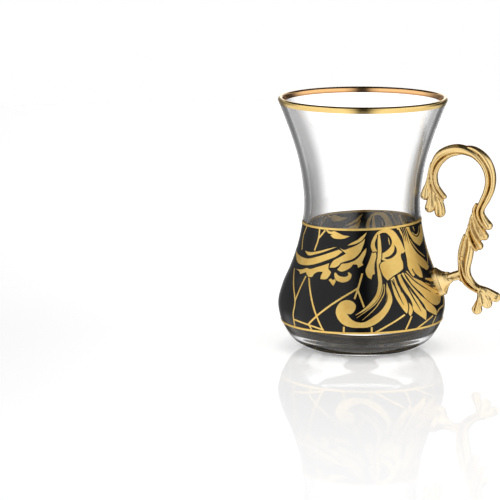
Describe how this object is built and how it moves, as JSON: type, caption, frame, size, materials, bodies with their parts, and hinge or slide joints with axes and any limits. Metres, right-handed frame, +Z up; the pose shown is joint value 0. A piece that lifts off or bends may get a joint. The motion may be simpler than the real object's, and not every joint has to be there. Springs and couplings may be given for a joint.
{
  "type": "turkish tea glass",
  "caption": "Waisted clear tea glass with a gilded rim, a black and gold printed band, and a gold cast scroll handle glued to its round belly.",
  "frame": {"origin": "centre of the glass's foot, on the surface it stands on", "axes": "+Z up along the glass's axis, +X towards the handle, +Y across the handle"},
  "size_m": [0.0882, 0.066, 0.0985],
  "materials": {
    "clear_glass": "clear pressed glass, fire polished, with a fired black and gold print round it and a gilded rim",
    "gold_casting": "polished yellow gold plating"
  },
  "bodies": {
    "root": {"glass": "clear_glass", "handle": "gold_casting"}
  },
  "joints": []
}
